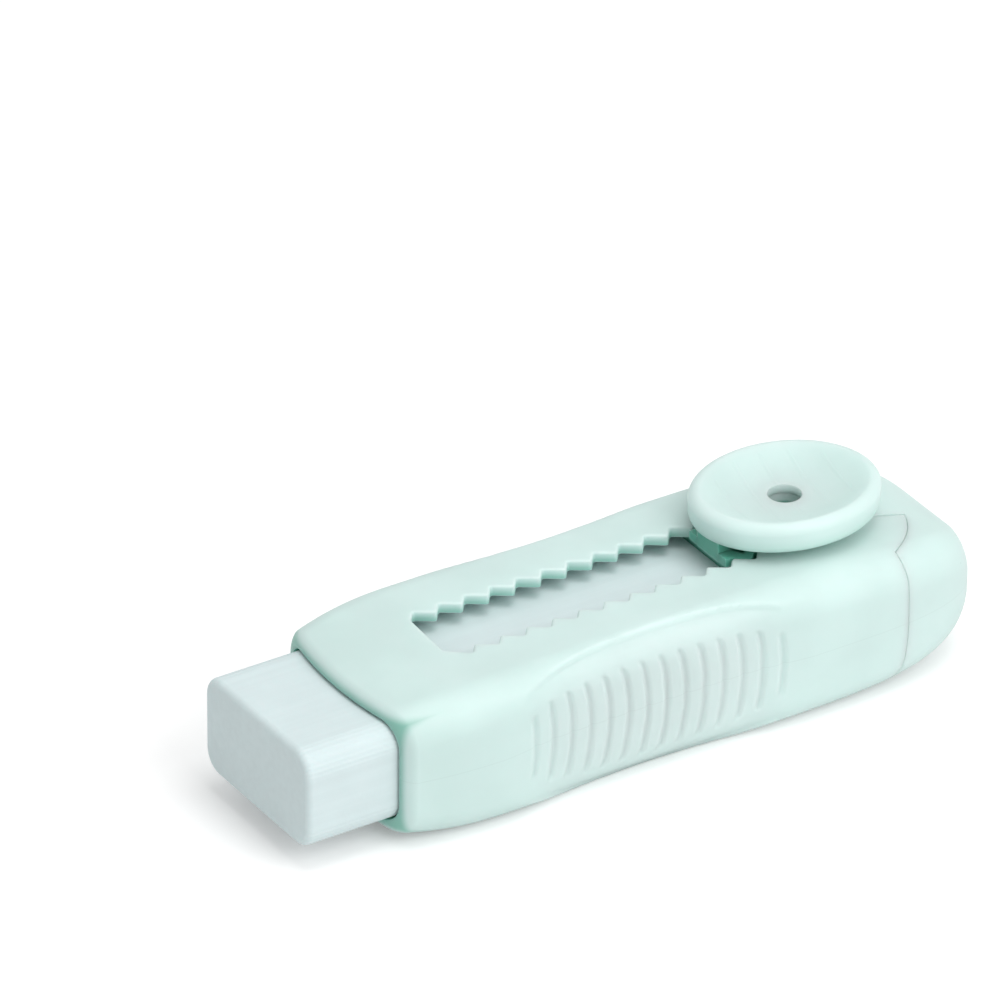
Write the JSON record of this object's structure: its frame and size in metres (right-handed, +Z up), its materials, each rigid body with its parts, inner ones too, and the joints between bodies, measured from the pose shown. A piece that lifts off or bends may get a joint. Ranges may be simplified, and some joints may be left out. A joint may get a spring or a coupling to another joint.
{
  "type": "retractable slide eraser",
  "caption": "Flat hand-held holder with an oval thumb slide on a toothed slot that pushes a rectangular eraser block out of its mouth.",
  "frame": {"origin": "middle of the flat base that the holder rests on", "axes": "+X along the holder from the mouth towards the cap, +Z up towards the thumb button, Y across; the mouth and the eraser are at -X"},
  "size_m": [0.0998, 0.0312, 0.0254],
  "materials": {
    "sleeve_plastic": "satin, pale mint, slightly translucent",
    "cap_plastic": "satin, pale mint, slightly translucent",
    "slider_plastic": "satin, pale mint",
    "button_plastic": "satin, pale mint",
    "eraser_rubber": "soft matte, pale blue grey"
  },
  "bodies": {
    "holder": {"sleeve": "sleeve_plastic"},
    "cap": {"end_cap": "cap_plastic"},
    "slide": {"slider": "slider_plastic", "near_click_spring": "slider_plastic", "far_click_spring": "slider_plastic", "thumb_button": "button_plastic"},
    "block": {"eraser_block": "eraser_rubber"}
  },
  "joints": [
    {"name": "slider_slide", "type": "slide", "parent": "holder", "child": "slide", "axis": [-1, 0, 0], "range_m": [0, 0.0377], "deforming": ["near_click_spring", "far_click_spring"]},
    {"name": "eraser_pull", "type": "slide", "parent": "slide", "child": "block", "axis": [-1, 0, 0], "range_m": [0, 0.07]},
    {"name": "cap_pull", "type": "slide", "parent": "holder", "child": "cap", "axis": [1, 0, 0], "range_m": [0, 0.03]}
  ]
}
